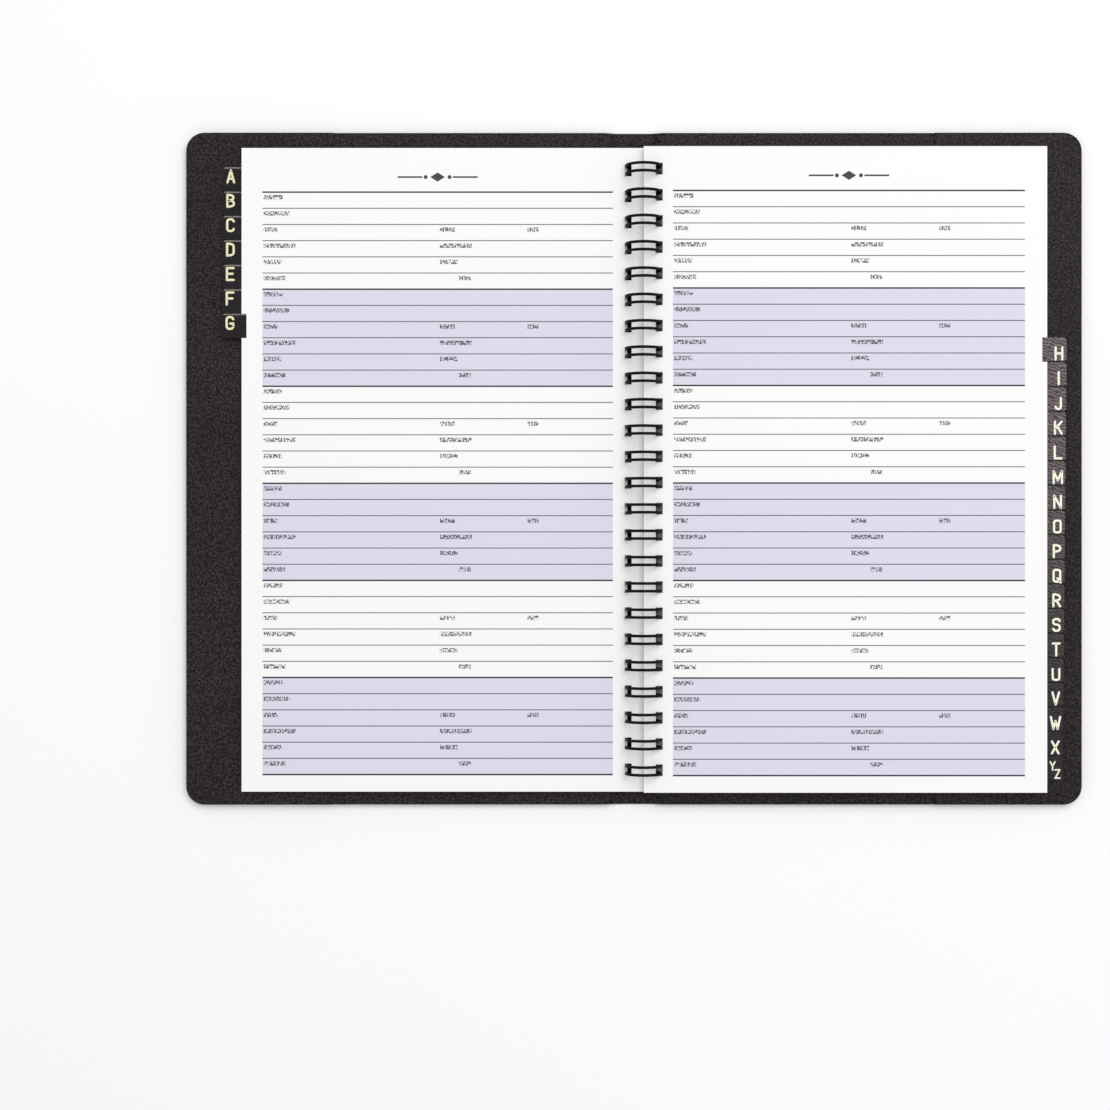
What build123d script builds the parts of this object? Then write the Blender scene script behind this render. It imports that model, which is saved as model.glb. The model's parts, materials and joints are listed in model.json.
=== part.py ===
from build123d import *
from math import cos, pi, radians, sin, sqrt
import os

# Wire-bound address book, lying open at the H section. Millimetres, +Z up.
# The origin is on the table, under the middle of the open cover. The spine runs along Y.

# Cover, which stands out past the tabs and past the head and tail of the leaves
fore_margin = 6.43
head_margin = 5.6
tail_margin = 4.6
cover_corner_radius = 6.0
spine_width = 18.0
skin_thickness = 0.5
board_thickness = 1.2
lining_thickness = 0.3
weld_width = 2.6
board_clearance = 0.3
pocket_width = 48.0
flap_thickness = 0.3

# Back card, tucked into the back pocket
card_thickness = 0.4
card_setback = 3.6
card_clearance = 0.03
card_lap = 1.6

# Leaves
letters = [*"abcdefghijklmnopqrstuvwx", "yz"]
open_at = "h"
page_width = 130.6
page_height = 209.3
leaf_thickness = 0.28
leaf_gap = 0.02
gutter_half = 0.02
stack_clearance = 0.04

# Index tabs, which share out the fore-edge between two margins
tab_reach = 6.3
tab_grip = 1.6
tab_top_margin = 5.85
tab_bottom_margin = 3.45
tab_gap = 0.1
tab_corner_cut = 0.7

# Binding wire
wire_diameter = 0.95
wire_spare = 1.625
wire_offset = 2.9
wire_end_margin = 7.0
loop_pitch = 8.467
loop_pair = 2.5
loop_foot_angle = 70.0
link_radius = 1.0
hole_clearance = 0.3
hole_width = 2.3
hole_height = 3.75

# Heights of the layers, from the table up
lining_floor = skin_thickness + board_thickness
card_floor = lining_floor + lining_thickness + card_clearance
flap_floor = card_floor + card_thickness + card_clearance
stack_floor = flap_floor + flap_thickness + stack_clearance

# The leaves of the closed block, counted up from the back: sections from last to first, then the fly leaf
leaf_pitch = leaf_thickness + leaf_gap
leaf_count = len(letters) + 1
half_stack = leaf_count * leaf_pitch / 2
axis_height = stack_floor + half_stack

# The middle of the leaves along Y, a little off the cover's, because its margins differ
block_middle = (tail_margin - head_margin) / 2

# The wire's ring, centred on the axis that the leaves turn about
wire_radius = wire_diameter / 2
ring_radius = half_stack + wire_spare
loop_count = int((page_height - 2 * wire_end_margin) / loop_pitch) + 1
loop_places = [block_middle + (i - (loop_count - 1) / 2) * loop_pitch for i in range(loop_count)]

# Widths and heights that follow the leaves
fore_edge = gutter_half + page_width
tab_pitch = (page_height - tab_top_margin - tab_bottom_margin) / len(letters)
card_width = page_width - card_setback
cover_width = 2 * (wire_offset + fore_edge + tab_reach + fore_margin)
cover_height = page_height + head_margin + tail_margin
panel_width = (cover_width - spine_width) / 2

os.makedirs("parts", exist_ok=True)


def ring_reach(radius, height):
    """How far from the axis a circle round it is, level with a height above or below the axis."""
    return sqrt(radius**2 - height**2)


def hole_span(lowest, highest):
    """Inner and outer edge of a leaf's holes, where the ring passes it between two heights from the axis."""
    nearest = 0 if lowest * highest < 0 else min(abs(lowest), abs(highest))
    inner = ring_reach(ring_radius - wire_radius, max(abs(lowest), abs(highest))) - hole_clearance
    outer = ring_reach(ring_radius + wire_radius, nearest) + hole_clearance
    return min(inner, outer - hole_width), outer


def punch_holes(side, span):
    """A row of holes for the wire's loops, cut from the leaf being drawn."""
    middle = wire_offset + side * (span[0] + span[1]) / 2
    with Locations([(middle, y) for y in loop_places]):
        Rectangle(span[1] - span[0], hole_height, mode=Mode.SUBTRACT)


def draw_leaf(side, floor):
    """A leaf's outline and holes, left (-1) or right (1) of the wire, with its lower face at a height."""
    with Locations((wire_offset + side * (gutter_half + page_width / 2), block_middle)):
        Rectangle(page_width, page_height)
    punch_holes(side, hole_span(floor - axis_height, floor + leaf_thickness - axis_height))


def leaf_place(index):
    """Side and lower height of a section, 0 for the first letter, as the book lies open."""
    level = (len(letters) - index - leaf_count / 2) * leaf_pitch
    if index < letters.index(open_at):
        return -1, axis_height - level + leaf_gap / 2
    return 1, axis_height + level - leaf_pitch + leaf_gap / 2


def panel_outline(side, inset):
    """One cover panel's outline, drawn in from its edges by an inset, with rounded outer corners."""
    with Locations((side * (spine_width + panel_width) / 2, 0)):
        outline = Rectangle(panel_width - 2 * inset, cover_height - 2 * inset)
    corners = outline.vertices().sort_by(Axis.X, reverse=side > 0)[:2]
    fillet(corners, cover_corner_radius - inset)


# Cover panels: an outer skin with a welded rim, a board inside it, and a lining with a pocket
for name, side in (("front", -1), ("back", 1)):
    with BuildPart() as skin:
        with BuildSketch():
            panel_outline(side, 0)
        extrude(amount=lining_floor)
        with BuildSketch(Plane.XY.offset(skin_thickness)):
            panel_outline(side, weld_width)
        extrude(amount=board_thickness, mode=Mode.SUBTRACT)
    skin.part.label = f"{name}_cover_skin"
    export_step(skin.part, f"parts/{name}_cover_skin.step")

    with BuildPart() as board:
        with BuildSketch(Plane.XY.offset(skin_thickness)):
            panel_outline(side, weld_width + board_clearance)
        extrude(amount=board_thickness)
    board.part.label = f"{name}_board"
    export_step(board.part, f"parts/{name}_board.step")

    with BuildPart() as lining:
        with BuildSketch(Plane.XY.offset(lining_floor)):
            panel_outline(side, 0)
        extrude(amount=lining_thickness)
        with BuildSketch(Plane.XY.offset(lining_floor + lining_thickness)):
            panel_outline(side, 0)
            with Locations((side * (cover_width / 2 - pocket_width - panel_width / 2), 0)):
                Rectangle(panel_width, cover_height, mode=Mode.SUBTRACT)
        extrude(amount=flap_floor + flap_thickness - lining_floor - lining_thickness)
        with BuildSketch(Plane.XY.offset(lining_floor + lining_thickness)):
            panel_outline(side, weld_width)
        extrude(amount=flap_floor - lining_floor - lining_thickness, mode=Mode.SUBTRACT)
    lining.part.label = f"{name}_lining"
    export_step(lining.part, f"parts/{name}_lining.step")

# Spine: the soft strip between the panels
with BuildPart() as spine:
    with BuildSketch():
        Rectangle(spine_width, cover_height)
    extrude(amount=skin_thickness)
spine.part.label = "spine_strip"
export_step(spine.part, "parts/spine_strip.step")

# Back card: bound by the wire, its free end in the back pocket
card_span = hole_span(card_floor - axis_height, card_floor + card_thickness - axis_height)
with BuildPart() as card:
    with BuildSketch(Plane.XY.offset(card_floor)):
        with Locations((wire_offset - card_lap + card_width / 2, block_middle)):
            Rectangle(card_width, page_height)
        punch_holes(1, card_span)
    extrude(amount=card_thickness)
card.part.label = "back_card"
export_step(card.part, "parts/back_card.step")

# Fly leaf: the block's plain first leaf, lowest on the left
fly_floor = stack_floor + leaf_gap / 2
with BuildPart() as fly_leaf:
    with BuildSketch(Plane.XY.offset(fly_floor)):
        draw_leaf(-1, fly_floor)
    extrude(amount=leaf_thickness)
fly_leaf.part.label = "fly_leaf"
export_step(fly_leaf.part, "parts/fly_leaf.step")

# Letter sections and their tabs: each tab sits in a notch in its own section's fore-edge
tab_width = tab_grip + tab_reach
for index, letter in enumerate(letters):
    side, floor = leaf_place(index)
    tab_middle = block_middle + page_height / 2 - tab_top_margin - (index + 0.5) * tab_pitch
    tab_place = (wire_offset + side * (fore_edge + tab_width / 2 - tab_grip), tab_middle)

    with BuildPart() as section:
        with BuildSketch(Plane.XY.offset(floor)):
            draw_leaf(side, floor)
            with Locations(tab_place):
                Rectangle(tab_width, tab_pitch - tab_gap, mode=Mode.SUBTRACT)
        extrude(amount=leaf_thickness)
    section.part.label = f"section_{letter}"
    export_step(section.part, f"parts/section_{letter}.step")

    with BuildPart() as tab:
        with BuildSketch(Plane.XY.offset(floor)):
            with Locations(tab_place):
                outline = Rectangle(tab_width, tab_pitch - tab_gap)
            chamfer(outline.vertices().sort_by(Axis.X, reverse=side > 0)[:2], tab_corner_cut)
        extrude(amount=leaf_thickness)
    tab.part.label = f"tab_{letter}"
    export_step(tab.part, f"parts/tab_{letter}.step")


def ring_point(angle, y, onward=0.0):
    """A point of the wire's ring: angle from +X towards +Z, then onward along the ring's tangent."""
    x = ring_radius * cos(radians(angle)) - onward * sin(radians(angle))
    z = ring_radius * sin(radians(angle)) + onward * cos(radians(angle))
    return (wire_offset + x, y, axis_height + z)


# Binding wire: hairpin loops round the ring, joined by short links below the spine edge of the leaves
left_foot = 180 + loop_foot_angle
right_foot = -loop_foot_angle
top = (left_foot + right_foot) / 2
bend = sin(radians(45))
with BuildPart() as wire:
    with BuildLine() as route:
        for number, y in enumerate(loop_places):
            first = y - loop_pair / 2
            last = y + loop_pair / 2
            if number == 0:
                Line(ring_point(left_foot, first, wire_diameter), ring_point(left_foot, first))
            for start, end, at in (
                (left_foot, top, first),
                (top, right_foot, first),
            ):
                ThreePointArc(ring_point(start, at), ring_point((start + end) / 2, at), ring_point(end, at))
            tip = ring_point(right_foot, y, -loop_pair / 2)
            ThreePointArc(ring_point(right_foot, first), tip, ring_point(right_foot, last))
            for start, end, at in (
                (right_foot, top, last),
                (top, left_foot, last),
            ):
                ThreePointArc(ring_point(start, at), ring_point((start + end) / 2, at), ring_point(end, at))
            if number == loop_count - 1:
                Line(ring_point(left_foot, last), ring_point(left_foot, last, wire_diameter))
            else:
                after = loop_places[number + 1] - loop_pair / 2
                link_start = ring_point(left_foot, last + link_radius, link_radius)
                link_end = ring_point(left_foot, after - link_radius, link_radius)
                out = ring_point(left_foot, last + link_radius * (1 - bend), link_radius * bend)
                back = ring_point(left_foot, after - link_radius * (1 - bend), link_radius * bend)
                ThreePointArc(ring_point(left_foot, last), out, link_start)
                Line(link_start, link_end)
                ThreePointArc(link_end, back, ring_point(left_foot, after))
    with BuildSketch(Plane(origin=route.line @ 0, z_dir=route.line % 0)):
        Circle(wire_radius)
    sweep(path=route.wires()[0])
wire.part.label = "binding_wire"
export_step(wire.part, "parts/binding_wire.step")

# The wire's least gap to itself, between points of two loops that lie well apart along it
course = route.wires()[0]
sample_step = wire_radius / 2
skip = int(3 * wire_diameter / sample_step)
sample_count = int(2 * course.length / loop_count / sample_step)
samples = [course.position_at(n * sample_step, PositionMode.LENGTH) for n in range(sample_count)]
least = min((a - b).length for n, a in enumerate(samples) for b in samples[n + skip :])
section_volume = pi * wire_radius**2 * course.length
print(f"wire: {loop_count} loops, length {course.length:.1f} mm, least gap {least - wire_diameter:.2f} mm")
print(f"wire: volume {wire.part.volume:.2f} mm3, section times length {section_volume:.2f} mm3")
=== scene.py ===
# %% [markdown]
# # A wire-bound address book
# The book lies open on a table: two stiff panels in a soft dark cover, a block of ruled leaves with
# index tabs, and one black wire that holds the leaves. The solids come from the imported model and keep
# their places. This lesson gives them their finishes, and remakes the soft and bent pieces as meshes.

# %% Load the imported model
import json
from math import cos, pi, radians, sin

import bmesh
import bpy
from mathutils import Matrix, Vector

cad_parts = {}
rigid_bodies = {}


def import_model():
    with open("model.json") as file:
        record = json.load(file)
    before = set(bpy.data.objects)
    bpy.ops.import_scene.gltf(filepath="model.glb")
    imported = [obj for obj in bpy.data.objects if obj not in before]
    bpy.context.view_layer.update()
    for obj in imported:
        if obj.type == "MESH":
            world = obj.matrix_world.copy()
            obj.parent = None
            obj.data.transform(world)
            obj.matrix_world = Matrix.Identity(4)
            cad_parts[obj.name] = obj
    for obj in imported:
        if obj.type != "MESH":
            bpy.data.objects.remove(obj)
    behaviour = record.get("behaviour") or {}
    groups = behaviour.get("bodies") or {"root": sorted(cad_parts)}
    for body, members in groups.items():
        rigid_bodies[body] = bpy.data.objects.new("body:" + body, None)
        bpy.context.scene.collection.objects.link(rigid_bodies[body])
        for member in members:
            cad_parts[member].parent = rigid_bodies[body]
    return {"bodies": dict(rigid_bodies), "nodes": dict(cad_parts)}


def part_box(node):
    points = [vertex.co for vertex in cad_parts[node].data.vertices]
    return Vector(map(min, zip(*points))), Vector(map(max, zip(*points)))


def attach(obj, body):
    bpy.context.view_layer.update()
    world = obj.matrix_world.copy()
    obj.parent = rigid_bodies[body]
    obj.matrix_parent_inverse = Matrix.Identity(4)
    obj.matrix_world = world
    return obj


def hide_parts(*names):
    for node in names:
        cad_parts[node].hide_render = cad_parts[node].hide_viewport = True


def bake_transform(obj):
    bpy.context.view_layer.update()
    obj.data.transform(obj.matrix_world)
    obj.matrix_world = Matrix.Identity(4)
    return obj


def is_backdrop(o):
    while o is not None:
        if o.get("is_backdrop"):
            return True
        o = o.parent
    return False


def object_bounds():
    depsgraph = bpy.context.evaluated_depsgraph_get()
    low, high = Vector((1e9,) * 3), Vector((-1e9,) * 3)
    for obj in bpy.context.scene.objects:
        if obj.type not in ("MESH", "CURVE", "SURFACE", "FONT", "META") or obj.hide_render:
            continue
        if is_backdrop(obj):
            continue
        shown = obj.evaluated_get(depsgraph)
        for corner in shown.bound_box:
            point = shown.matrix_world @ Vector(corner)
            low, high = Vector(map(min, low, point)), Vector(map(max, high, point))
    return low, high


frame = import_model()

scene = bpy.context.scene
scene.view_settings.view_transform = "Standard"
for spare in [o for o in bpy.data.objects if o.name in ("Cube", "Light", "Camera")]:
    bpy.data.objects.remove(spare)
cad_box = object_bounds()
solids = frame["nodes"]
print(f"{len(solids)} solids on {len(frame['bodies'])} bodies")

# %% [markdown]
# ## Sizes
# The maker of a book thinks in millimetres and Blender in metres, so the sizes below are written in
# millimetres and multiplied once, when points go into a mesh. What the solids already know, such as the
# wire's axis, is read from their boxes, so that it can't drift from them.

# %% Sizes in millimetres
MM = 0.001
WIRE_DIAMETER = 0.95


def box_mm(name):
    low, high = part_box(name)
    return low / MM, high / MM


wire_low, wire_high = box_mm("binding_wire")
panel_low, panel_high = box_mm("back_cover_skin")
strip_low, strip_high = box_mm("spine_strip")
wire_x = (wire_low.x + wire_high.x) / 2
ring_radius = (wire_high.x - wire_low.x - WIRE_DIAMETER) / 2
axis_z = wire_high.z - WIRE_DIAMETER / 2 - ring_radius
wire_middle = (wire_low.y + wire_high.y) / 2
print(f"wire axis at x {wire_x:.2f}, z {axis_z:.2f}, ring radius {ring_radius:.2f} mm")

# %% [markdown]
# ## Camera
# The photograph looks straight down on the open book from about two thirds of a metre, so the camera
# hangs over the table and isn't turned at all. It stands a little to the left of and below the book's
# middle, because the book fills the upper right of the picture.

# %% Camera
PICTURE_ACROSS = 360.5
PAGE_LEVEL = 6.0
CAMERA_PLACE = (-25.8, -28.2, 656.0)
SENSOR_WIDTH = 36.0

camera = bpy.data.cameras.new("photo_camera")
camera.sensor_width = SENSOR_WIDTH
camera.lens = SENSOR_WIDTH * (CAMERA_PLACE[2] - PAGE_LEVEL) / PICTURE_ACROSS
camera_object = bpy.data.objects.new("photo_camera", camera)
camera_object.location = [v * MM for v in CAMERA_PLACE]
scene.collection.objects.link(camera_object)
scene.camera = camera_object
print(f"lens {camera.lens:.1f} mm")

# %% [markdown]
# ## Shader maths
# Patterns such as ruled lines are sums on coordinates. Written node by node they are hard to read, so a
# small class wraps an output socket and turns Python's operators into Math nodes. Another adds any
# other node, with its settings first and then its sockets. Both work in shader and geometry trees.


# %% Values
class Value:
    """An output socket. Arithmetic on it adds Math nodes to its tree."""

    def __init__(self, nodes, socket):
        self.nodes = nodes
        self.socket = socket

    def of(self, output):
        return Value(self.nodes, self.socket.node.outputs[output])

    def math(self, operation, *terms):
        return self.nodes.add("ShaderNodeMath", {"operation": operation}, dict(enumerate(terms)))

    def __add__(self, other):
        return self.math("ADD", self, other)

    def __sub__(self, other):
        return self.math("SUBTRACT", self, other)

    def __rsub__(self, other):
        return self.math("SUBTRACT", other, self)

    def __mul__(self, other):
        return self.math("MULTIPLY", self, other)

    def __truediv__(self, other):
        return self.math("DIVIDE", self, other)

    def __mod__(self, other):
        return self.math("FLOORED_MODULO", self, other)

    def __gt__(self, other):
        return self.math("GREATER_THAN", self, other)

    def __lt__(self, other):
        return self.math("LESS_THAN", self, other)

    def __abs__(self):
        return self.math("ABSOLUTE", self)

    def __round__(self):
        return self.math("ROUND", self)

    __radd__ = __add__
    __rmul__ = __mul__

    def sine(self):
        return self.math("SINE", self)

    def cosine(self):
        return self.math("COSINE", self)

    def either(self, other):
        return self.math("MAXIMUM", self, other)

    def at_most(self, other):
        return self.math("MINIMUM", self, other)

    def rise(self, low, high):
        """0 below low, 1 above high, smooth between. A fall is written with low above high."""
        settings = {"interpolation_type": "SMOOTHSTEP"}
        turned = low > high
        inputs = {0: self, 1: min(low, high), 2: max(low, high), 3: float(turned), 4: float(not turned)}
        return self.nodes.add("ShaderNodeMapRange", settings, inputs)

    def line(self, middle, half, soft):
        """1 within half of the middle, falling to 0 over soft."""
        return abs(self - middle).rise(half + soft, half)


# %% Nodes
class Nodes:
    """A node tree, with one method that adds any node and returns one of its outputs."""

    def __init__(self, tree):
        self.tree = tree

    def add(self, kind, settings=None, inputs=None, output=0):
        node = self.tree.nodes.new(kind)
        for name, value in (settings or {}).items():
            if name == "stops":
                while len(node.color_ramp.elements) < len(value):
                    node.color_ramp.elements.new(1.0)
                for stop, (place, level) in zip(node.color_ramp.elements, value):
                    stop.position = place
                    stop.color = (level, level, level, 1.0)
            elif name == "ramp":
                node.color_ramp.interpolation = value
            else:
                setattr(node, name, value)
        for name, value in (inputs or {}).items():
            if isinstance(value, Value):
                self.tree.links.new(value.socket, node.inputs[name])
            else:
                node.inputs[name].default_value = value
        return Value(self, node.outputs[output])


# %% [markdown]
# ## Finishes
# A finish is a material with one Principled shader. Every pattern starts from the book's own coordinates
# in millimetres, so grain and print keep their real size on every piece. Some numbers are kept with the
# mesh instead, where a pattern follows an edge.


# %% Finishes
class Finish(Nodes):
    """A material: one Principled shader, and the book's own coordinates in millimetres."""

    def __init__(self, name, **constants):
        self.material = bpy.data.materials.new(name)
        self.material.use_nodes = True
        super().__init__(self.material.node_tree)
        self.shader = self.tree.nodes["Principled BSDF"]
        for socket, value in constants.items():
            self.shader.inputs[socket.replace("_", " ")].default_value = value
        corner = self.add("ShaderNodeTexCoord", None, None, "Object")
        self.place = self.add("ShaderNodeVectorMath", {"operation": "SCALE"}, {0: corner, "Scale": 1 / MM})
        parts = self.add("ShaderNodeSeparateXYZ", None, {0: self.place})
        self.x, self.y, self.z = (parts.of(axis) for axis in "XYZ")
        self.up = self.add("ShaderNodeSeparateXYZ", None, {0: corner.of("Normal")}, "Z")

    def noise(self, scale, detail=2.0, stretch=(1.0, 1.0, 1.0), place=None):
        """Smooth random levels from 0 to 1, about scale of them to a millimetre."""
        moved = {0: place or self.place, 1: stretch}
        at = self.add("ShaderNodeVectorMath", {"operation": "MULTIPLY"}, moved)
        return self.add("ShaderNodeTexNoise", None, {"Vector": at, "Scale": scale, "Detail": detail})

    def cells(self, scale):
        """Distance to the nearest of scattered points: pebbles, about scale of them to a millimetre."""
        inputs = {"Vector": self.place, "Scale": scale}
        return self.add("ShaderNodeTexVoronoi", {"feature": "F1"}, inputs, "Distance")

    def kept(self, name):
        """A number kept with each point of the mesh, or 0 where it has none."""
        return self.add("ShaderNodeAttribute", {"attribute_name": name}, None, "Fac")

    def mix(self, factor, first, second):
        inputs = {0: factor}
        for index, colour in ((6, first), (7, second)):
            inputs[index] = colour if isinstance(colour, Value) else (*colour, 1.0)
        return self.add("ShaderNodeMix", {"data_type": "RGBA"}, inputs, 2)

    def colour(self, value):
        self.tree.links.new(value.socket, self.shader.inputs["Base Color"])

    def rough(self, value):
        self.tree.links.new(value.socket, self.shader.inputs["Roughness"])

    def bump(self, height, depth):
        """Height from 0 to 1 as a relief of that depth in millimetres."""
        relief = self.add("ShaderNodeBump", None, {"Height": height, "Distance": depth * MM})
        self.tree.links.new(relief.socket, self.shader.inputs["Normal"])


# %% Dressing the solids
def dress(finish, *names):
    """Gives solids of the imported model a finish."""
    for name in names:
        for place in solids[name].material_slots:
            place.material = finish.material
    print(f"{finish.material.name}: {len(names)} solids")


# %% [markdown]
# ## Ruled paper
# Each section is a sheaf of white leaves, printed the same on both sides: six entries of six ruled rows,
# every second entry on a lavender band. Short broken marks label the rows, and a small rule with a lozenge
# heads the page. The pattern could be a picture, but sums on the leaf's own coordinates stay sharp at any
# distance, and one material can serve every leaf: a face is a right-hand page if it is on the right of the
# wire and faces up, or on the left and faces down. Where a size below is two numbers, the ink is gone at
# the first and full at the second. Where it is three, they are its middle, its half and its soft edge.

# %% Page sizes
ROW = 5.261
ROWS = 6
ENTRY = ROW * ROWS
ENTRIES = 6
PRINT_TOP = 89.8
PRINT_WIDTH = 113.95
RIGHT_PRINT_START = 9.47
LEFT_PRINT_END = 123.85
PRINT_SPILL = 0.3
THIN_RULE = (0.185, 0.125)
HEAVY_RULE = (0.285, 0.22)
LABEL_UNIT = 20.0
LABEL_ROW = (1.65, 0.66, 0.12)
LABEL_COLUMNS = (
    (0.4, (6.2, 8.4, 4.5, 10.4, 5.8, 7.1)),
    (57.7, (0, 0, 4.9, 10.4, 5.8, 0)),
    (86.2, (0, 0, 3.6, 0, 0, 0)),
    (63.9, (0, 0, 0, 0, 0, 3.9)),
)
HEADING_UP = 4.9
LOZENGE_HALF_WIDTH = 2.4
LOZENGE_HALF_HEIGHT = 1.5
LOZENGE_EDGE = (1.05, 0.95)
DOT_ASIDE = 3.9
DOT_SQUARED = (0.5, 0.35)
DASH = (9.0, 4.0, 0.05)
DASH_THICKNESS = (0.32, 0.24)
HOLES_FROM = 0.5
HOLES_TO = 7.0
LAST_HOLE = 104.0
WHITE = (0.93, 0.93, 0.925)
LAVENDER = (0.7, 0.692, 0.81)
THIN_INK = (0.06, 0.06, 0.065)
INK = (0.025, 0.025, 0.03)
print(f"{ENTRIES} entries of {ROWS} rows, {ENTRY * ENTRIES:.1f} mm high")


# %% Edges and sides of a leaf
LEAVES_PER_MM = 11


def leaf_edges(paper):
    """Fine lines on the cut edges, one for each leaf of a sheaf."""
    lines = (paper.z * LEAVES_PER_MM + paper.noise(0.4) * 1.5) % 1
    return (abs(paper.up) < 0.5) * lines.rise(0.75, 0.25)


def right_hand(finish):
    """1 on the faces that are right-hand pages when they are read."""
    return (finish.x - wire_x) * finish.up > 0


# %% Rules and bands
page = Finish("ruled_page_paper", Roughness=0.75, Specular_IOR_Level=0.12)
from_wire = abs(page.x - wire_x)
right = right_hand(page)
across = right * (from_wire - RIGHT_PRINT_START) + (1 - right) * (LEFT_PRINT_END - from_wire)
down = PRINT_TOP - page.y
block = (across > 0) * (across < PRINT_WIDTH) * (abs(page.up) > 0.5)
ruled = block * (down > -PRINT_SPILL) * (down < ENTRY * ENTRIES + PRINT_SPILL)
thin_rule = ruled * abs(down - round(down / ROW) * ROW).rise(*THIN_RULE)
heavy_rule = ruled * abs(down - round(down / ENTRY) * ENTRY).rise(*HEAVY_RULE)
band = ruled * (((down / ENTRY) % 2) > 1) * (down > 0) * (down < ENTRY * ENTRIES)

# %% Row labels and heading
row_number = (down / ROW) % ROWS / ROWS
row_depth = down % ROW
marks = None
for start, widths in LABEL_COLUMNS:
    stops = [(number / ROWS, width / LABEL_UNIT) for number, width in enumerate(widths)]
    ramp = page.add("ShaderNodeValToRGB", {"stops": stops, "ramp": "CONSTANT"}, {0: row_number})
    word = (across > start) * (across < ramp * LABEL_UNIT + start)
    marks = word if marks is None else marks + word
flat = page.add("ShaderNodeCombineXYZ", None, {0: across, 1: down})
strokes = page.noise(2.3, 1.0, (1.0, 0.55, 1.0), flat).rise(0.44, 0.52)
labels = ruled * marks * strokes * row_depth.line(*LABEL_ROW) * (down > 0)

sideways = abs(across - PRINT_WIDTH / 2)
height = abs(down + HEADING_UP)
lozenge = (sideways / LOZENGE_HALF_WIDTH + height / LOZENGE_HALF_HEIGHT).rise(*LOZENGE_EDGE)
from_dot = sideways - DOT_ASIDE
dot = (from_dot * from_dot + height * height).rise(*DOT_SQUARED)
dash = sideways.line(*DASH) * height.rise(*DASH_THICKNESS)
heading = block * lozenge.either(dot).either(dash)

# %% Page colour
fibre = page.noise(1.6, 4.0)
paper_colour = page.mix(fibre, [v * 0.985 for v in WHITE], WHITE)
paper_colour = page.mix(band, paper_colour, LAVENDER)
paper_colour = page.mix(thin_rule * 0.9, paper_colour, THIN_INK)
paper_colour = page.mix((heavy_rule + heading).at_most(1) * 0.95, paper_colour, INK)
paper_colour = page.mix(labels * 0.85, paper_colour, INK)
paper_colour = page.mix(leaf_edges(page) * 0.5, paper_colour, (0.42, 0.41, 0.4))
# Painted shade: the cut edges near the wire, round the holes, are darkened as if deep in shadow.
near_wire = (from_wire > HOLES_FROM) * (from_wire < HOLES_TO)
painted_hole_shade = (abs(page.up) < 0.5) * near_wire * (abs(page.y) < LAST_HOLE)
page.colour(page.mix(painted_hole_shade * 0.8, paper_colour, (0.06, 0.06, 0.06)))
page.bump(fibre, 0.02)
sections = [name for name in solids if name.startswith("section_")]
dress(page, *sections)

# %% [markdown]
# ## Plain papers
# The fly leaf has no print, the card at the back is a stiffer white stock, and the boards inside the
# panels are grey pulp. They differ only in colour and in how coarse their fibres are, so one function
# makes all three.


# %% Plain papers
def plain_paper(name, colour, grain, relief):
    paper = Finish(name, Roughness=0.8, Specular_IOR_Level=0.12)
    fibres = paper.noise(grain, 5.0)
    flecks = paper.noise(grain * 0.35, 2.0).rise(0.6, 0.75)
    shade = paper.mix(fibres, [v * 0.92 for v in colour], colour)
    shade = paper.mix(flecks * 0.1, shade, [v * 0.7 for v in colour])
    paper.colour(paper.mix(leaf_edges(paper) * 0.4, shade, [v * 0.6 for v in colour]))
    paper.bump(fibres, relief)
    return paper


dress(plain_paper("fly_leaf_paper", (0.92, 0.92, 0.91), 1.6, 0.02), "fly_leaf")
dress(plain_paper("back_card_stock", (0.86, 0.85, 0.82), 1.1, 0.03), "back_card")
dress(plain_paper("grey_pulp_board", (0.3, 0.28, 0.25), 0.7, 0.08), "front_board", "back_board")

# %% [markdown]
# ## Index tabs
# The tabs are strips of ribbed vinyl with a slight sheen. Seen from the front they are grey, with painted
# highlights on the ribs where they catch the light, and painted shade that grows towards the last letters,
# lower on the page. A painted shade also runs along the lower edge of each front. From the back they are
# nearly black, with a painted highlight along the upper end.
# Ribs this fine are a matter of the surface, so a distorted sine wave raises them in the material.

# %% Tab vinyl
TAB_TOP = 98.3
TAB_PITCH = 8.0
RIBS_ALONG = 0.95
RIBS_ACROSS = 0.3
RIB_WANDER = 2.6
BACK_EDGE_HIGHLIGHT = (0.62, 0.4)
TAB_EDGE_SHADE_WIDTH = 0.5

vinyl = Finish("ribbed_tab_vinyl", Specular_IOR_Level=0.12)
front = right_hand(vinyl) * (abs(vinyl.up) > 0.5)
wander = vinyl.noise(0.55, 3.0)
rib_count = vinyl.y * RIBS_ALONG + vinyl.x * RIBS_ACROSS + wander * RIB_WANDER
ribs = (rib_count * (2 * pi)).sine() * 0.5 + 0.5
along = (TAB_TOP - vinyl.y) % TAB_PITCH
speckle = vinyl.noise(3.2, 2.0)
# Painted shade: the fronts grow darker towards the bottom, and the ribs get painted highlights.
front_painted_light_by_height = vinyl.mix(vinyl.y.rise(-100.0, 30.0), (0.04, 0.032, 0.035), (0.235, 0.198, 0.208))
front_shade = vinyl.mix(ribs * 0.7 + speckle * 0.3, (0.008, 0.006, 0.007), front_painted_light_by_height)
back_shade = vinyl.mix(ribs * 0.5 + speckle * 0.5, (0.003, 0.002, 0.003), (0.018, 0.015, 0.018))
vinyl_colour = vinyl.mix(front, back_shade, front_shade)
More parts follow.
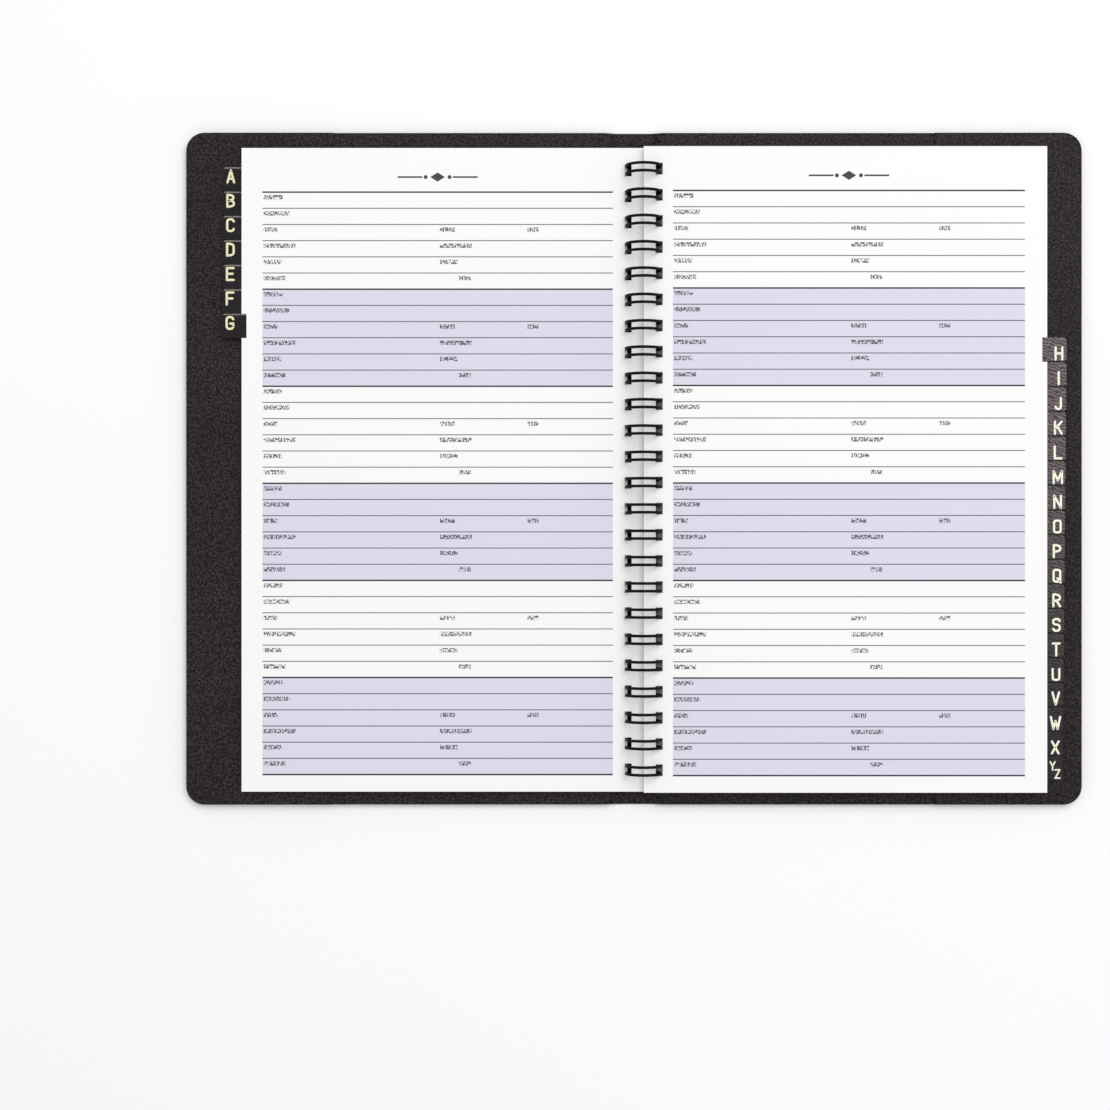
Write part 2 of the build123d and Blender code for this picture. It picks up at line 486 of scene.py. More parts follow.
# Painted highlight along the upper end of each tab's back.
painted_back_edge_highlight = along.rise(*BACK_EDGE_HIGHLIGHT) * (1 - front) * speckle.rise(0.3, 0.5)
vinyl_colour = vinyl.mix(painted_back_edge_highlight * 0.8, vinyl_colour, (0.3, 0.27, 0.25))
# Painted shade along the lower edge of each front, where the tabs meet.
painted_tab_edge_shade = along.rise(TAB_PITCH - TAB_EDGE_SHADE_WIDTH, TAB_PITCH - TAB_EDGE_SHADE_WIDTH / 2) * front
vinyl.colour(vinyl.mix(painted_tab_edge_shade * 0.9, vinyl_colour, (0.008, 0.007, 0.008)))
vinyl.rough(0.38 + speckle * 0.25)
vinyl.bump(ribs * 0.7 + speckle * 0.3, 0.1)
tabs = [name for name in solids if name.startswith("tab_")]
dress(vinyl, *tabs)

# %% [markdown]
# ## Index letters
# Each tab carries its letter on both faces in pale print, upright when that face is read. They are plain
# narrow capitals of one stroke width, so each is a few strokes: straight ones, and round ones that run as
# a smooth spline inside their corner points, given as shares of the letter's width and height. A curve
# with a round bevel makes the strokes, and flattened they stand a hair proud of the vinyl. The last tab
# serves two letters, one below the other.

# %% Strokes of the letters
LETTER_HEIGHT = 3.85
LETTER_WIDTH = 2.15
LETTER_STROKE = 0.8
LETTER_RISE = 0.035
STROKE_END = ((-1.0, 0.1), (-0.75, 0.66), (0.0, 1.0))
WIDE = {"M": 1.25, "W": 1.4}
BOWL = "0,1 1,1 1,.46 0,.46"
RING = ".5,0 1,0 1,.35 1,.65 1,1 0,1 0,.65 0,.35 0,0 .5,0"
HOOK = "1,.74 1,1 0,1 0,.5 0,0 1,0 1,.26"
STRAIGHT = {
    "A": "0,0 .5,1 1,0;.18,.3 .82,.3", "B": "0,0 0,1", "D": "0,0 0,1",
    "E": "1,1 0,1 0,0 1,0;0,.52 .85,.52", "F": "1,1 0,1 0,0;0,.5 .85,.5", "G": ".55,.45 1,.45 1,.15",
    "H": "0,0 0,1;1,0 1,1;0,.5 1,.5", "I": ".5,0 .5,1", "K": "0,0 0,1;1,1 0,.4;.36,.62 1,0",
    "L": "0,1 0,0 1,0", "M": "0,0 0,1 .5,.25 1,1 1,0", "N": "0,0 0,1 1,0 1,1", "P": "0,0 0,1",
    "Q": ".6,.28 1.05,-.06", "R": "0,0 0,1;.5,.46 1,0", "T": "0,1 1,1;.5,0 .5,1", "V": "0,1 .5,0 1,1",
    "W": "0,1 .27,0 .5,.66 .73,0 1,1", "X": "0,0 1,1;0,1 1,0", "Y": "0,1 .5,.48 1,1;.5,.48 .5,0",
    "Z": "0,1 1,1 0,0 1,0",
}
ROUND = {
    "B": "0,1 .92,1 .92,.53 0,.53;0,.53 1,.53 1,0 0,0", "C": HOOK, "D": "0,1 1,1 1,.5 1,0 0,0",
    "G": HOOK, "J": ".85,1 .85,.4 .85,0 .05,0 .05,.26", "O": RING, "P": BOWL, "Q": RING, "R": BOWL,
    "S": "1,.76 1,1 0,1 0,.53 1,.53 1,0 0,0 0,.24", "U": "0,1 0,.35 0,0 1,0 1,.35 1,1",
}

# %% Letter print
print_finish = Finish("pale_letter_print", Roughness=0.45, Specular_IOR_Level=0.3)
rubbed = print_finish.noise(2.0, 3.0).rise(0.62, 0.78)
cream = print_finish.mix(right_hand(print_finish), (0.86, 0.81, 0.53), (0.95, 0.93, 0.76))
print_finish.colour(print_finish.mix(rubbed * 0.3, cream, (0.5, 0.46, 0.32)))


# %% Letter meshes
def stroke_points(strokes, letter):
    """The strokes of a letter as lists of points in millimetres, centred on the origin."""
    wide = LETTER_WIDTH * WIDE.get(letter, 1.0)
    for stroke in filter(None, strokes.get(letter, "").split(";")):
        pairs = [[float(v) for v in pair.split(",")] for pair in stroke.split()]
        yield [((x - 0.5) * wide, (y - 0.5) * LETTER_HEIGHT) for x, y in pairs]


def letter_mesh(letter):
    """One letter as flattened round strokes, centred on the origin, in millimetres."""
    curve = bpy.data.curves.new("letter", "CURVE")
    curve.dimensions = "3D"
    curve.bevel_depth = LETTER_STROKE / 2
    curve.bevel_resolution = 1
    curve.resolution_u = 4
    curve.use_fill_caps = True
    cap = LETTER_STROKE / 2
    for points in stroke_points(STRAIGHT, letter):
        for start, end in zip(points, points[1:]):
            length = ((end[0] - start[0]) ** 2 + (end[1] - start[1]) ** 2) ** 0.5
            steps = [(at * cap, wide) for at, wide in STROKE_END]
            steps += [(length - at, wide) for at, wide in reversed(steps)]
            spline = curve.splines.new("POLY")
            spline.points.add(len(steps) - 1)
            for point, (at, wide) in zip(spline.points, steps):
                share = at / length
                point.co = (*(a + (b - a) * share for a, b in zip(start, end)), 0, 1)
                point.radius = wide
    for points in stroke_points(ROUND, letter):
        spline = curve.splines.new("NURBS")
        spline.points.add(len(points) - 1)
        for point, place in zip(spline.points, points):
            point.co = (*place, 0, 1)
        spline.order_u = 3
        spline.use_endpoint_u = True
    holder = bpy.data.objects.new("letter", curve)
    scene.collection.objects.link(holder)
    mesh = bpy.data.meshes.new_from_object(holder.evaluated_get(bpy.context.evaluated_depsgraph_get()))
    bpy.data.objects.remove(holder)
    mesh.transform(Matrix.Diagonal((1, 1, LETTER_RISE * 2 / LETTER_STROKE, 1)))
    return mesh


# %% Letters on the tabs
TAB_REACH = 6.3
LETTER_OUTWARD = 0.65
FRONT_DROP = -1.25
BACK_DROP = 0.95
PAIR_SIZE = 0.7
PAIR_PLACES = ((-0.8, 1.9), (0.8, -0.7))


def add_piece(name, mesh, finish):
    """A mesh as an object at the origin, with one finish."""
    mesh.name = name
    mesh.materials.clear()
    mesh.materials.append(finish.material)
    made = bpy.data.objects.new(name, mesh)
    scene.collection.objects.link(made)
    return made


letter_count = 0
for tab in tabs:
    key = tab.removeprefix("tab_")
    low, high = box_mm(tab)
    side = 1 if low.x > wire_x else -1
    outer = high.x if side > 0 else low.x
    middle = (outer - side * (TAB_REACH / 2 - LETTER_OUTWARD), (low.y + high.y) / 2)
    signs = [(key.upper(), 0.0, 0.0, 1.0)]
    if len(key) == 2:
        signs = [(sign, *place, PAIR_SIZE) for sign, place in zip(key.upper(), PAIR_PLACES)]
    shape = bmesh.new()
    for sign, right_by, up_by, share in signs:
        letter = letter_mesh(sign)
        for level, flip in ((high.z, 1), (low.z, -1)):
            drop = FRONT_DROP if flip * side > 0 else BACK_DROP
            turn = Matrix.Rotation(0 if flip > 0 else pi, 4, "Y")
            place = Matrix.Translation((middle[0] + flip * right_by, middle[1] + up_by + drop, level))
            copy = letter.copy()
            copy.transform(Matrix.Scale(MM, 4) @ place @ turn @ Matrix.Diagonal((share, share, 1, 1)))
            shape.from_mesh(copy)
            bpy.data.meshes.remove(copy)
    bmesh.ops.recalc_face_normals(shape, faces=shape.faces)
    mesh = bpy.data.meshes.new(f"letter_{key}")
    shape.to_mesh(mesh)
    shape.free()
    piece = add_piece(f"letter_{key}", mesh, print_finish)
    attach(piece, f"section_{key}")
    letter_count += len(signs) * 2
print(f"{letter_count} letters on {len(tabs)} tabs")

# %% [markdown]
# ## Binding wire
# One black coated wire runs in hairpin loops round the ring, joined by short links below the leaves.
# Unrolled from its ring, it is a square wave with rounded corners. So the tree draws that wave on the
# flat, rounds its corners, and wraps it: the way along the loop becomes an angle round the axis, and
# what passes the loop's feet runs straight on. A circle swept along it makes the tube.

# %% Wire sizes
WIRE_SIZES = {
    "Loops": 24,
    "Pitch": 8.467,
    "Pair": 2.5,
    "Ring radius": ring_radius,
    "Foot angle": 70.0,
    "Link radius": 1.0,
    "Wire radius": WIRE_DIAMETER / 2,
    "Step": 0.45,
}
BEND_POINTS = 8
SECTION_POINTS = 9
MERGE = 0.001


# %% Geometry trees
def new_tree(name, sizes):
    """A geometry tree with one named input for each size."""
    tree = bpy.data.node_groups.new(name, "GeometryNodeTree")
    tree.interface.new_socket("Geometry", in_out="OUTPUT", socket_type="NodeSocketGeometry")
    keys = {}
    for label, value in sizes.items():
        kind = "NodeSocketInt" if isinstance(value, int) else "NodeSocketFloat"
        keys[label] = tree.interface.new_socket(label, in_out="INPUT", socket_type=kind).identifier
    nodes = Nodes(tree)
    given = nodes.add("NodeGroupInput")
    return nodes, {label: given.of(label) for label in sizes}, keys


def end_tree(nodes, geometry, finish):
    """The last nodes of every tree: metres, real faces and a material."""
    scaled = nodes.add("GeometryNodeTransform", None, {"Geometry": geometry, "Scale": (MM, MM, MM)})
    real = nodes.add("GeometryNodeRealizeInstances", None, {0: scaled})
    dressed = nodes.add("GeometryNodeSetMaterial", None, {0: real, "Material": finish.material})
    last = nodes.tree.nodes.new("NodeGroupOutput")
    nodes.tree.links.new(dressed.socket, last.inputs[0])


def run_tree(name, nodes, keys, sizes, finish):
    """The tree's result as a plain mesh, with doubles merged and faces turned outwards."""
    holder = bpy.data.objects.new(name, bpy.data.meshes.new(name))
    scene.collection.objects.link(holder)
    modifier = holder.modifiers.new("tree", "NODES")
    modifier.node_group = nodes.tree
    for label, value in sizes.items():
        modifier[keys[label]] = value
    mesh = bpy.data.meshes.new_from_object(holder.evaluated_get(bpy.context.evaluated_depsgraph_get()))
    holder.modifiers.remove(modifier)
    bpy.data.objects.remove(holder)
    shape = bmesh.new()
    shape.from_mesh(mesh)
    bmesh.ops.remove_doubles(shape, verts=shape.verts, dist=MERGE * MM)
    bmesh.ops.recalc_face_normals(shape, faces=shape.faces)
    shape.to_mesh(mesh)
    shape.free()
    print(f"{name}: {len(mesh.polygons)} faces")
    return add_piece(name, mesh, finish)


# %% Wire coating
coating = Finish("black_wire_coating", Specular_IOR_Level=0.07)
scuffs = coating.noise(0.8, 4.0)
coating.colour(coating.mix(scuffs.rise(0.55, 0.8), (0.004, 0.004, 0.0045), (0.014, 0.013, 0.014)))
coating.rough(0.4 + scuffs * 0.25)
coating.bump(coating.noise(2.5, 2.0), 0.02)

# %% The wave on the flat
tree, size, keys = new_tree("hairpin_wire", WIRE_SIZES)
line = tree.add("GeometryNodeCurvePrimitiveLine", None, {"End": (1.0, 0.0, 0.0)})
corner_count = {"Curve": line, "Count": size["Loops"] * 4}
corners = tree.add("GeometryNodeResampleCurve", {"mode": "COUNT"}, corner_count)
number = tree.add("GeometryNodeInputIndex")
corner = number % 4
loop = (number - corner) / 4
at_tip = (corner > 0.5) * (corner < 2.5)
length = size["Ring radius"] * (size["Foot angle"] * 2 + 180) * (pi / 180)
reach = at_tip * (length + size["Pair"] / 2) - (1 - at_tip) * size["Link radius"]
along = (loop - (size["Loops"] - 1) / 2) * size["Pitch"] + ((corner > 1.5) - 0.5) * size["Pair"]
wave_place = tree.add("ShaderNodeCombineXYZ", None, {0: reach, 1: along})
wave = tree.add("GeometryNodeSetPosition", None, {"Geometry": corners, "Position": wave_place})
bend = at_tip * size["Pair"] / 2 + (1 - at_tip) * size["Link radius"]
rounding = {"Curve": wave, "Radius": bend, "Limit Radius": True, "Count": BEND_POINTS}
rounded = tree.add("GeometryNodeFilletCurve", {"mode": "POLY"}, rounding)
spacing = {"Curve": rounded, "Length": size["Step"]}
even = tree.add("GeometryNodeResampleCurve", {"mode": "LENGTH"}, spacing)

# %% The wave wrapped round its ring
flat = tree.add("ShaderNodeSeparateXYZ", None, {0: tree.add("GeometryNodeInputPosition")})
on_ring = flat.of("X").either(0).at_most(length)
beyond = flat.of("X") - on_ring
angle = (size["Foot angle"] + 180) * (pi / 180) - on_ring / size["Ring radius"]
ring_x = size["Ring radius"] * angle.cosine() + beyond * angle.sine() + wire_x
ring_z = size["Ring radius"] * angle.sine() - beyond * angle.cosine() + axis_z
ring_y = flat.of("Y") + wire_middle
ring_place = tree.add("ShaderNodeCombineXYZ", None, {0: ring_x, 1: ring_y, 2: ring_z})
wrapped = tree.add("GeometryNodeSetPosition", None, {"Geometry": even, "Position": ring_place})
round_section = {"Resolution": SECTION_POINTS, "Radius": size["Wire radius"]}
section = tree.add("GeometryNodeCurvePrimitiveCircle", None, round_section)
swept = {"Curve": wrapped, "Profile Curve": section, "Fill Caps": True}
tube = tree.add("GeometryNodeCurveToMesh", None, swept)
end_tree(tree, tree.add("GeometryNodeSetShadeSmooth", None, {"Geometry": tube}), coating)
wire = run_tree("binding_wire_tube", tree, keys, WIRE_SIZES, coating)
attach(wire, "back_cover")
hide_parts("binding_wire")

# %% [markdown]
# ## Cover finishes
# Outside, the cover is a dark brown leatherette: fine pebbles, long shallow creases that run across it,
# and a broken pale line along the sunken weld, just inside the edge, which is a painted highlight. Inside,
# the same kind of vinyl is a little violet and has no creases. Pebbles are Voronoi cells, creases are the
# level lines of a stretched noise, darkened with painted shade, and the weld's highlight follows the
# distance from the edge that each mesh keeps. The spine's mesh also keeps where it is grooved, below 0,
# for a painted shade, and where the ridge between its grooves lies, above 0, for a painted highlight.

# %% Cover vinyl
WELD_INSET = 1.6
WELD_HIGHLIGHT_COLOUR = (0.2, 0.17, 0.165)
RIDGE_HIGHLIGHT = (0.11, 0.092, 0.085)
CREASE_STRETCH = (0.03, 0.2, 0.1)


def cover_vinyl(name, sheen, dark, pale, pebble, relief, creases, weld, rubbed_edge):
    vinyl = Finish(name, Specular_IOR_Level=sheen)
    jitter = vinyl.noise(0.5, 3.0)
    pebbles = vinyl.cells(pebble).rise(0.2, 0.62)
    cloud = vinyl.noise(0.02, 3.0).rise(0.3, 0.7)
    level = vinyl.noise(1.0, 3.0, CREASE_STRETCH)
    folds = abs(level - 0.5).rise(0.009, 0.002) * vinyl.noise(0.03, 2.0).rise(0.48, 0.6) * creases
    grain = vinyl.noise(1.5, 2.0).rise(0.3, 0.7)
    shade = vinyl.mix(pebbles * 0.6 + grain * 0.4, pale, dark)
    shade = vinyl.mix(cloud * 0.2, shade, [v * 1.35 for v in dark])
    # Painted shade: the creases are darkened.
    shade = vinyl.mix(folds * 0.35, shade, [v * 0.35 for v in dark])
    # Painted highlight on the spine's ridge, and painted shade in its grooves.
    fold = vinyl.kept("fold_mark")
    shade = vinyl.mix(fold.rise(0.1, 0.9) * 0.6, shade, RIDGE_HIGHLIGHT)
    shade = vinyl.mix((0 - fold).rise(0.1, 0.9) * 0.8, shade, [v * 0.3 for v in dark])
    # Painted highlight: a broken pale line along the weld, as strong as weld says.
    inset = vinyl.kept("inset_mm")
    painted_weld_highlight = inset.line(WELD_INSET, 0.12, 0.25) * jitter.rise(0.35, 0.55)
    shade = vinyl.mix(painted_weld_highlight * weld, shade, WELD_HIGHLIGHT_COLOUR)
    rim = inset.rise(0.9, 0.15) * jitter.rise(0.35, 0.75)
    vinyl.colour(vinyl.mix(rim * rubbed_edge, shade, [v * 2.2 for v in pale]))
    vinyl.rough(0.42 + jitter * 0.2 + folds * 0.2 - painted_weld_highlight * 0.1)
    vinyl.bump(1 - pebbles * 0.55 - folds * 0.45 + jitter * 0.1, relief)
    return vinyl


# %% Leatherette and lining
leatherette = cover_vinyl(
    "brown_black_leatherette",
    sheen=0.15,
    dark=(0.0035, 0.0025, 0.002),
    pale=(0.0275, 0.0205, 0.0174),
    pebble=1.2,
    relief=0.12,
    creases=1.0,
    weld=0.7,
    rubbed_edge=0.12,
)
lining_vinyl = cover_vinyl(
    "violet_black_lining",
    sheen=0.1,
    dark=(0.001, 0.0004, 0.0007),
    pale=(0.057, 0.0435, 0.049),
    pebble=1.3,
    relief=0.1,
    creases=0.0,
    weld=0.0,
    rubbed_edge=0.0,
)
print(f"cover finishes: {leatherette.material.name}, {lining_vinyl.material.name}")

# %% [markdown]
# ## Cover panels
# A panel is a tray of leatherette welded round a board, with a lining over it and a pocket flap along
# the fore-edge. A box would have hard edges, so each layer is lofted: the panel's outline is drawn in by
# a list of insets, each at its own height, which rolls the edge over and presses the weld line into it.
# The rails run round three sides. Those of the skin and the lining end where the spine begins, because
# the vinyl runs on there, and those of the flap end at the pocket's mouth.

# %% Rails of the panels
CORNER_RADIUS = 6.0
LEAST_RADIUS = 0.3
CORNER_STEPS = 9
SMOOTH_ANGLE = 35
POCKET_WIDTH = 48.0
SKIN_RAILS = (
    (8.0, 0.05), (2.8, 0.05), (2.3, 0.09), (1.95, 0.26), (WELD_INSET, 0.32), (1.3, 0.26), (1.0, 0.12),
    (0.65, 0.08), (0.32, 0.16), (0.1, 0.4), (0.0, 0.75), (0.0, 1.3), (0.1, 1.58), (0.35, 1.69), (2.6, 1.69),
    (2.6, 0.5), (8.0, 0.5),
)
LINING_RAILS = (
    (6.0, 1.7), (0.35, 1.7), (0.1, 1.76), (0.02, 1.85), (0.1, 1.95), (0.35, 2.0), (6.0, 2.0),
)
FLAP_RAILS = (
    (6.0, 2.46), (2.6, 2.46), (2.6, 2.0), (0.35, 2.0), (0.1, 2.08), (0.0, 2.3), (0.06, 2.52), (0.24, 2.68),
    (0.6, 2.75), (1.2, 2.76), (6.0, 2.76),
)


# %% Lofting
def panel_rail(side, inset, inner):
    """A panel's outline drawn in by an inset, from its inner edge round both outer corners and back."""
    outer = panel_high.x - inset
    half = panel_high.y - inset
    radius = max(CORNER_RADIUS - inset, LEAST_RADIUS)
    points = [(inner, -half)]
    for quarter, way in ((-1, -1), (0, 1)):
        for step in range(CORNER_STEPS + 1):
            angle = radians(90 * (quarter + step / CORNER_STEPS))
            x = outer - radius + radius * cos(angle)
            y = way * (half - radius) + radius * sin(angle)
            points.append((x, y))
    points.append((inner, half))
    return [(side * x, y) for x, y in points]


def loft(shape, side, rails, inner):
    """Adds a closed shell through the rails, which all end at a line across the panel."""
    keep = shape.verts.layers.float.get("inset_mm") or shape.verts.layers.float.new("inset_mm")
    rows = []
    for inset, height in rails:
        row = []
        for x, y in panel_rail(side, inset, inner):
            vertex = shape.verts.new((x * MM, y * MM, height * MM))
            vertex[keep] = inset
            row.append(vertex)
        rows.append(row)
    for lower, upper in zip(rows, rows[1:]):
        for n in range(len(lower) - 1):
            shape.faces.new((lower[n], lower[n + 1], upper[n + 1], upper[n]))
    shape.faces.new(rows[0])
    shape.faces.new(rows[-1])
    shape.faces.new([row[0] for row in rows])
    shape.faces.new([row[-1] for row in rows])
    shape.faces.new((rows[0][0], rows[0][-1], rows[-1][-1], rows[-1][0]))


def smooth_mesh(shape, name):
    """The finished shape as a mesh: faces outwards, smooth except over sharp turns."""
    bmesh.ops.recalc_face_normals(shape, faces=shape.faces)
    mesh = bpy.data.meshes.new(name)
    shape.to_mesh(mesh)
    shape.free()
    mesh.shade_smooth()
    mesh.set_sharp_from_angle(angle=radians(SMOOTH_ANGLE))
    print(f"{name}: {len(mesh.polygons)} faces")
    return mesh


# %% Skins and linings
for name, side in (("front", -1), ("back", 1)):
    shape = bmesh.new()
    loft(shape, side, SKIN_RAILS, panel_low.x)
    skin = add_piece(f"{name}_skin_shell", smooth_mesh(shape, f"{name}_skin_shell"), leatherette)
    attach(skin, f"{name}_cover")
    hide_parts(f"{name}_cover_skin")

    shape = bmesh.new()
    loft(shape, side, LINING_RAILS, panel_low.x)
    loft(shape, side, FLAP_RAILS, panel_high.x - POCKET_WIDTH)
    lining = add_piece(f"{name}_lining_shell", smooth_mesh(shape, f"{name}_lining_shell"), lining_vinyl)
    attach(lining, f"{name}_cover")
    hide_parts(f"{name}_lining")

# %% [markdown]
# ## Spine
# Between the panels the cover is soft. Two close grooves on each side of the spine let it fold, with a
# thin ridge between them that stops short of the ends. Inside, the lining runs on across the spine, down
# from one panel and up to the other. The strip is cut into narrow columns, with more of them at the
# grooves. Each row of points near an end gives its distance from the end, the share of the thickness that
# is rounded off, the depth of the weld and the share of the grooves' depth.

# %% Spine sizes
COLUMNS = 96
LEAST_COLUMN = 0.02
GROOVES = (1.95, 2.4)
GROOVE_HALF = 0.1
GROOVE_DEPTH = 0.2
FACE_LEVEL = 0.05
ROLL = 4.5
VALLEY = 5.2
LINING_LEVEL = 1.97
INNER_ROUNDING = 0.6
LINING_SLOPE = 0.3
END_ROWS = (
    (0.0, 0.4, 0.0, 0.0), (0.1, 0.18, 0.0, 0.0), (0.32, 0.06, 0.0, 0.0), (0.65, 0.015, 0.0, 0.0),
    (1.0, 0.0, 0.07, 0.0), (1.3, 0.0, 0.2, 0.0), (WELD_INSET, 0.0, 0.25, 0.0), (1.95, 0.0, 0.2, 0.0),
    (2.3, 0.0, 0.04, 0.0), (2.8, 0.0, 0.0, 0.0), (10.5, 0.0, 0.0, 0.0), (11.3, 0.0, 0.0, 0.5),
    (12.4, 0.0, 0.0, 1.0),
)


# %% Levels across the spine
def groove_at(x):
    """How deep the grooves are at a place across the spine, from 0 to 1."""
    depth = 0.0
    for middle in GROOVES:
        near = min(abs(abs(x) - middle) / (2 * GROOVE_HALF), 1.0)
        depth += 0.5 + 0.5 * cos(pi * near)
    return depth


def ridge_at(x):
    """How far a place lies up the ridge between the two grooves, from 0 to 1."""
    aside = abs(abs(x) - sum(GROOVES) / 2)
    return max(1 - aside / (1.5 * GROOVE_HALF), 0.0)


def valley_at(x):
    """The level of the inner face, which dips between the two panels."""
    climb = max(abs(x) - VALLEY, 0) / (strip_high.x - VALLEY)
    return strip_high.z + (LINING_LEVEL - strip_high.z) * climb * climb * (3 - 2 * climb)


# %% Columns of the spine
columns = {strip_low.x + (strip_high.x - strip_low.x) * n / COLUMNS for n in range(COLUMNS + 1)}
for middle in GROOVES:
    for n in range(-2, 3):
        columns |= {middle + n * GROOVE_HALF, -middle - n * GROOVE_HALF}
columns = sorted(round(x, 2) for x in columns)
columns = [x for x, after in zip(columns, columns[1:]) if after - x > LEAST_COLUMN] + columns[-1:]
print(f"{len(columns)} columns across the spine")

# %% Spine strip
shape = bmesh.new()
keep = shape.verts.layers.float.new("inset_mm")
fold_mark = shape.verts.layers.float.new("fold_mark")
lines = [(strip_low.y + along, *rest) for along, *rest in END_ROWS]
lines += [(strip_high.y - along, *rest) for along, *rest in reversed(END_ROWS)]
under = []
over = []
for y, rounding, weld, share in lines:
    under.append([])
    over.append([])
    for x in columns:
        thick = valley_at(x) - FACE_LEVEL
        low = FACE_LEVEL + rounding * thick + weld + GROOVE_DEPTH * share * groove_at(x)
        high = valley_at(x) - rounding * thick * INNER_ROUNDING
        for row, z in ((under[-1], low), (over[-1], high)):
            vertex = shape.verts.new((x * MM, y * MM, z * MM))
            vertex[keep] = min(y - strip_low.y, strip_high.y - y)
            # Above 0 for a painted highlight on the ridge, below 0 for a painted shade in the grooves.
            vertex[fold_mark] = share * (ridge_at(x) - groove_at(x))
            row.append(vertex)
last = len(columns) - 1
for rows in (under, over):
    for first, second in zip(rows, rows[1:]):
        for n in range(last):
            shape.faces.new((first[n], first[n + 1], second[n + 1], second[n]))
for below, above in ((under[0], over[0]), (under[-1], over[-1])):
    for n in range(last):
        shape.faces.new((below[n], below[n + 1], above[n + 1], above[n]))
for n in (0, last):
    for row in range(len(lines) - 1):
        shape.faces.new((under[row][n], under[row + 1][n], over[row + 1][n], over[row][n]))
spine = add_piece("spine_roll", smooth_mesh(shape, "spine_roll"), leatherette)
spine.data.materials.append(lining_vinyl.material)
for face in spine.data.polygons:
    face.material_index = int(face.normal.z > LINING_SLOPE)
ROLL * MM
-ROLL * MM
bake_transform(spine)
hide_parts("spine_strip")

# %% [markdown]
# ## Gold stamping
# The front of the cover is stamped in gold foil with a plain binder's design: a double rule round the
# panel, a chain of lozenges between the rules, and a rosette of lozenges in the middle. All of it repeats
# one shape along a line or round a circle, which is what instances on points are for. Each ring of the
# rosette gives its share of the rosette's radius and of the petals' length, and how slim its petals are.

# %% Gold foil
FOIL_SIZES = {
    "Width": 108.0,
    "Height": 186.0,
    "Rule": 0.55,
    "Gap": 3.2,
    "Foil": 0.05,
    "Beads": 180,
    "Bead": 0.75,
    "Petals": 12,
    "Rosette": 14.0,
    "Petal": 3.4,
}
PETAL_RINGS = ((0.42, 0.62, 0.45), (1.0, 1.0, 0.5), (1.5, 0.45, 0.8))

gold = Finish("gold_foil", Metallic=0.75, Specular_IOR_Level=0.4)
tarnish = gold.noise(0.25, 4.0)
speck = gold.noise(2.2, 3.0).rise(0.6, 0.8)
gold_colour = gold.mix(tarnish, (0.86, 0.6, 0.2), (0.97, 0.74, 0.32))
gold.colour(gold.mix(speck * 0.4, gold_colour, (0.4, 0.26, 0.09)))
gold.rough(0.3 + tarnish * 0.2)

# %% Parts of the stamped design
tree, size, keys = new_tree("gold_design", FOIL_SIZES)
join = tree.tree.nodes.new("GeometryNodeJoinGeometry")


def frame_line(shrink):
    inputs = {0: size["Width"] - size["Gap"] * shrink, 1: size["Height"] - size["Gap"] * shrink}
    return tree.add("GeometryNodeCurvePrimitiveQuadrilateral", None, inputs)


def prisms(points, radius, stretch, turned=None):
    """Lozenges, which are four-sided prisms, on the points of a curve."""
    inputs = {"Vertices": 4, "Radius": radius, "Depth": size["Foil"]}
    lozenge = tree.add("GeometryNodeMeshCylinder", None, inputs)
    placed = {"Points": points, "Instance": lozenge, "Scale": stretch}
    if turned is not None:
        placed["Rotation"] = turned
    made = tree.add("GeometryNodeInstanceOnPoints", None, placed)
    tree.tree.links.new(made.socket, join.inputs[0])


# %% The stamped design
for shrink in (0, 2):
    ribbon = tree.add("GeometryNodeCurvePrimitiveQuadrilateral", None, {0: size["Rule"], 1: size["Foil"]})
    swept = {"Curve": frame_line(shrink), "Profile Curve": ribbon}
    strip = tree.add("GeometryNodeCurveToMesh", None, swept)
    tree.tree.links.new(strip.socket, join.inputs[0])
beads = {"Curve": frame_line(1), "Count": size["Beads"]}
prisms(tree.add("GeometryNodeResampleCurve", {"mode": "COUNT"}, beads), size["Bead"], (1.0, 1.0, 1.0))
for share, long_by, slim_by in PETAL_RINGS:
    ring = tree.add("GeometryNodeCurvePrimitiveCircle", None, {"Radius": size["Rosette"] * share})
    petals = {"Curve": ring, "Count": size["Petals"]}
    spots = tree.add("GeometryNodeResampleCurve", {"mode": "COUNT"}, petals)
    outward = {"Vector": tree.add("GeometryNodeInputPosition")}
    facing = tree.add("FunctionNodeAlignEulerToVector", {"axis": "X", "pivot_axis": "Z"}, outward)
    prisms(spots, size["Petal"] * long_by, (1.0, slim_by, 1.0), facing)
centre = ((panel_low.x + panel_high.x) / -2, 0.0, FACE_LEVEL)
on_panel = {"Geometry": Value(tree, join.outputs[0]), "Translation": centre}
end_tree(tree, tree.add("GeometryNodeTransform", None, on_panel), gold)
foil = run_tree("gold_stamping", tree, keys, FOIL_SIZES, gold)
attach(foil, "front_cover")

# %% [markdown]
# ## Table and light
# The photograph is a cut-out on white, evenly lit. A pale table keeps the book's soft shadow and fades
# out into the white further off. One large lamp overhead gives the covers their sheen, and an even white
# sky does the rest, at a level where a white sheet comes out just short of white.

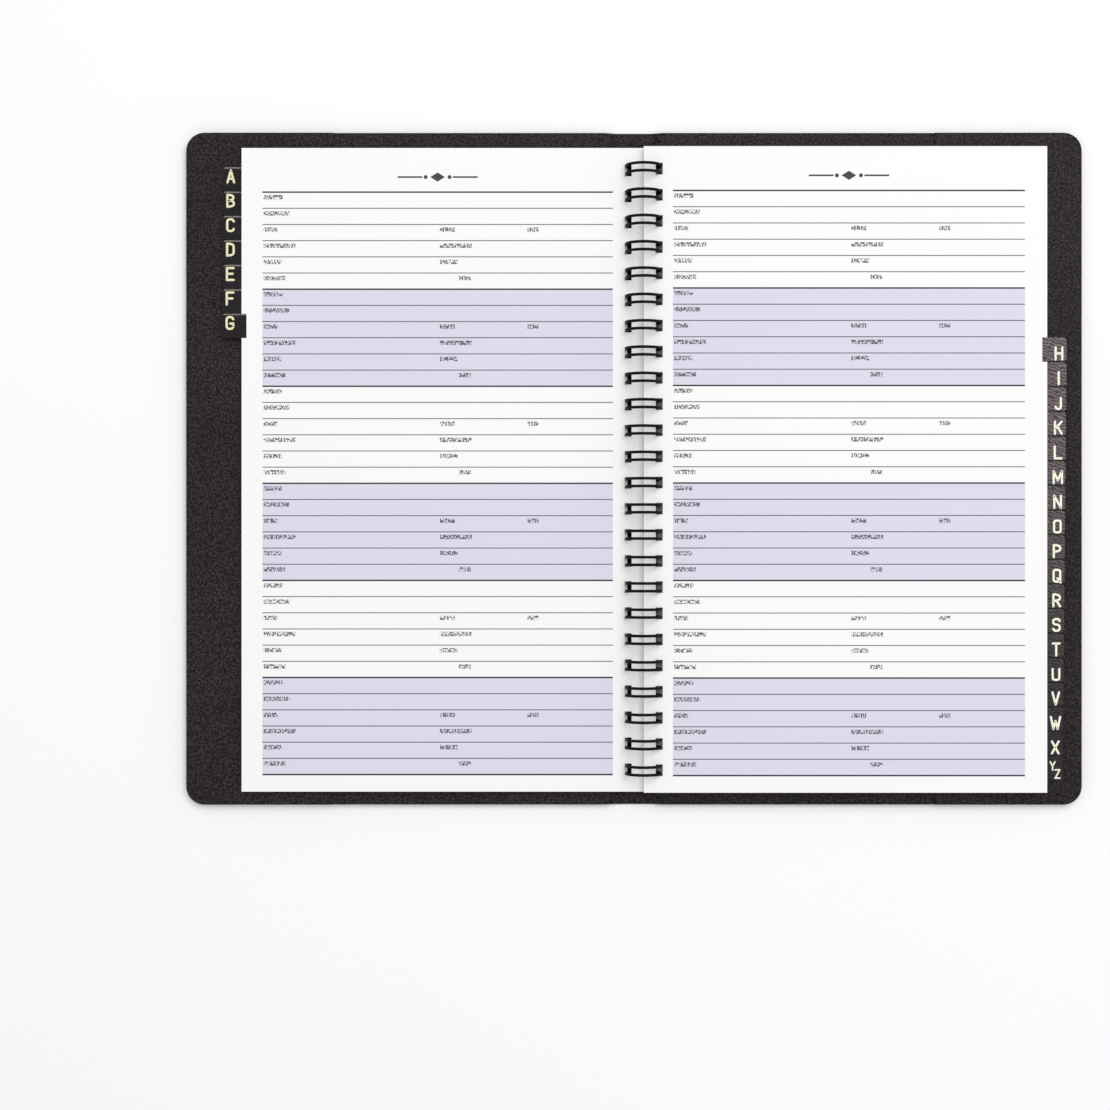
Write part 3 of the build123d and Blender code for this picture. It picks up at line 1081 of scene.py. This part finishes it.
# %% Table
TABLE_HALF = 3.0
TABLE_DROP = 0.2
FADE_START = 0.2
FADE_END = 1.4

table = Finish("pale_table", Roughness=0.9, Specular_IOR_Level=0.1)
table.colour(table.mix(table.noise(0.01, 2.0), (0.955, 0.955, 0.955), (0.97, 0.97, 0.97)))
away = (table.x * table.x + table.y * table.y) * MM * MM
table.tree.links.new(away.rise(FADE_END, FADE_START).socket, table.shader.inputs["Alpha"])
shape = bmesh.new()
bmesh.ops.create_grid(shape, x_segments=2, y_segments=2, size=TABLE_HALF)
bmesh.ops.translate(shape, verts=shape.verts, vec=(0, 0, -TABLE_DROP * MM))
mesh = bpy.data.meshes.new("pale_table")
shape.to_mesh(mesh)
shape.free()
add_piece("pale_table", mesh, table)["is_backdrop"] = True
print(f"table {2 * TABLE_HALF} m across, {TABLE_DROP} mm below the book")

# %% Light
SKY = 0.6
LAMP_POWER = 15.2
LAMP_SIZE = 1.3
LAMP_PLACE = (0.35, 0.55, 1.5)
LAMP_TILT = (-20, 13, 0)

lamp = bpy.data.lights.new("overhead_lamp", "AREA")
lamp.size = LAMP_SIZE
lamp.energy = LAMP_POWER
lamp_object = bpy.data.objects.new("overhead_lamp", lamp)
lamp_object.location = LAMP_PLACE
lamp_object.rotation_euler = [radians(angle) for angle in LAMP_TILT]
scene.collection.objects.link(lamp_object)

scene.world = bpy.data.worlds.new("white_sky")
scene.world.use_nodes = True
sky = Nodes(scene.world.node_tree)
ray = sky.add("ShaderNodeLightPath", None, None, "Is Camera Ray")
seen = ray.either(ray.of("Is Glossy Ray")).either(ray.of("Is Transmission Ray"))
strength = seen * (1 - SKY) + SKY
background = scene.world.node_tree.nodes["Background"]
background.inputs["Color"].default_value = (1, 1, 1, 1)
scene.world.node_tree.links.new(strength.socket, background.inputs["Strength"])
print(f"sky {SKY}, lamp {LAMP_POWER} W")

dressed_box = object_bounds()
boxes = {"cad": [list(corner) for corner in cad_box], "visual": [list(corner) for corner in dressed_box]}
print(boxes)
